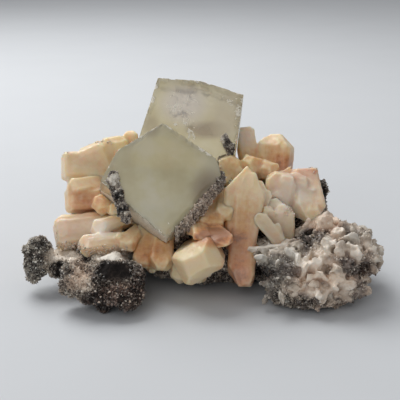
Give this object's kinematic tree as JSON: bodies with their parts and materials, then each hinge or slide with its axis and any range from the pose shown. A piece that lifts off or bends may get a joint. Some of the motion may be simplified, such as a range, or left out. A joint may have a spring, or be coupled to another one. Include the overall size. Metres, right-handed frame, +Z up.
{
  "type": "stilbite cluster",
  "caption": "Mineral specimen: peach stilbite blades and sheaves with large pale calcite rhombs on a dark, druse-coated basalt matrix that stands on its lumpy feet",
  "frame": {"origin": "on the surface the specimen stands on, under the middle of its box", "axes": "+Z is up, +X runs to the viewer's right along the longest extent, and the shown front looks along -Y"},
  "size_m": [0.1576, 0.116, 0.0848],
  "materials": {
    "calcite": "milky, pale yellow-green calcite, see-through at the edges, with veils, fine cleavage lines and etched faces",
    "stilbite": "peach to salmon stilbite, translucent at the tips, with a pearly lustre and fine lengthwise striations",
    "druse": "sugary grey and cream druse with short pale blades over a dark core",
    "basalt": "dark brown-black vesicular basalt, dusted with grey-white micro-crystals"
  },
  "bodies": {
    "root": {"calcite_rhomb_front": "calcite", "calcite_rhomb_back": "calcite", "stilbite_tall_sheaf": "stilbite", "stilbite_front_point": "stilbite", "stilbite_low_pair": "stilbite", "stilbite_under_calcite": "stilbite", "stilbite_right_low": "stilbite", "stilbite_right_fan": "stilbite", "stilbite_upper_right": "stilbite", "stilbite_left_block": "stilbite", "stilbite_left_middle": "stilbite", "stilbite_left_foot": "stilbite", "stilbite_back_left": "stilbite", "stilbite_back_middle": "stilbite", "stilbite_back_right": "stilbite", "druse_on_front_rhomb_left": "druse", "druse_on_front_rhomb_right": "druse", "druse_on_back_rhomb": "druse", "bladed_crust_right": "druse", "basalt_matrix": "basalt"}
  },
  "joints": []
}
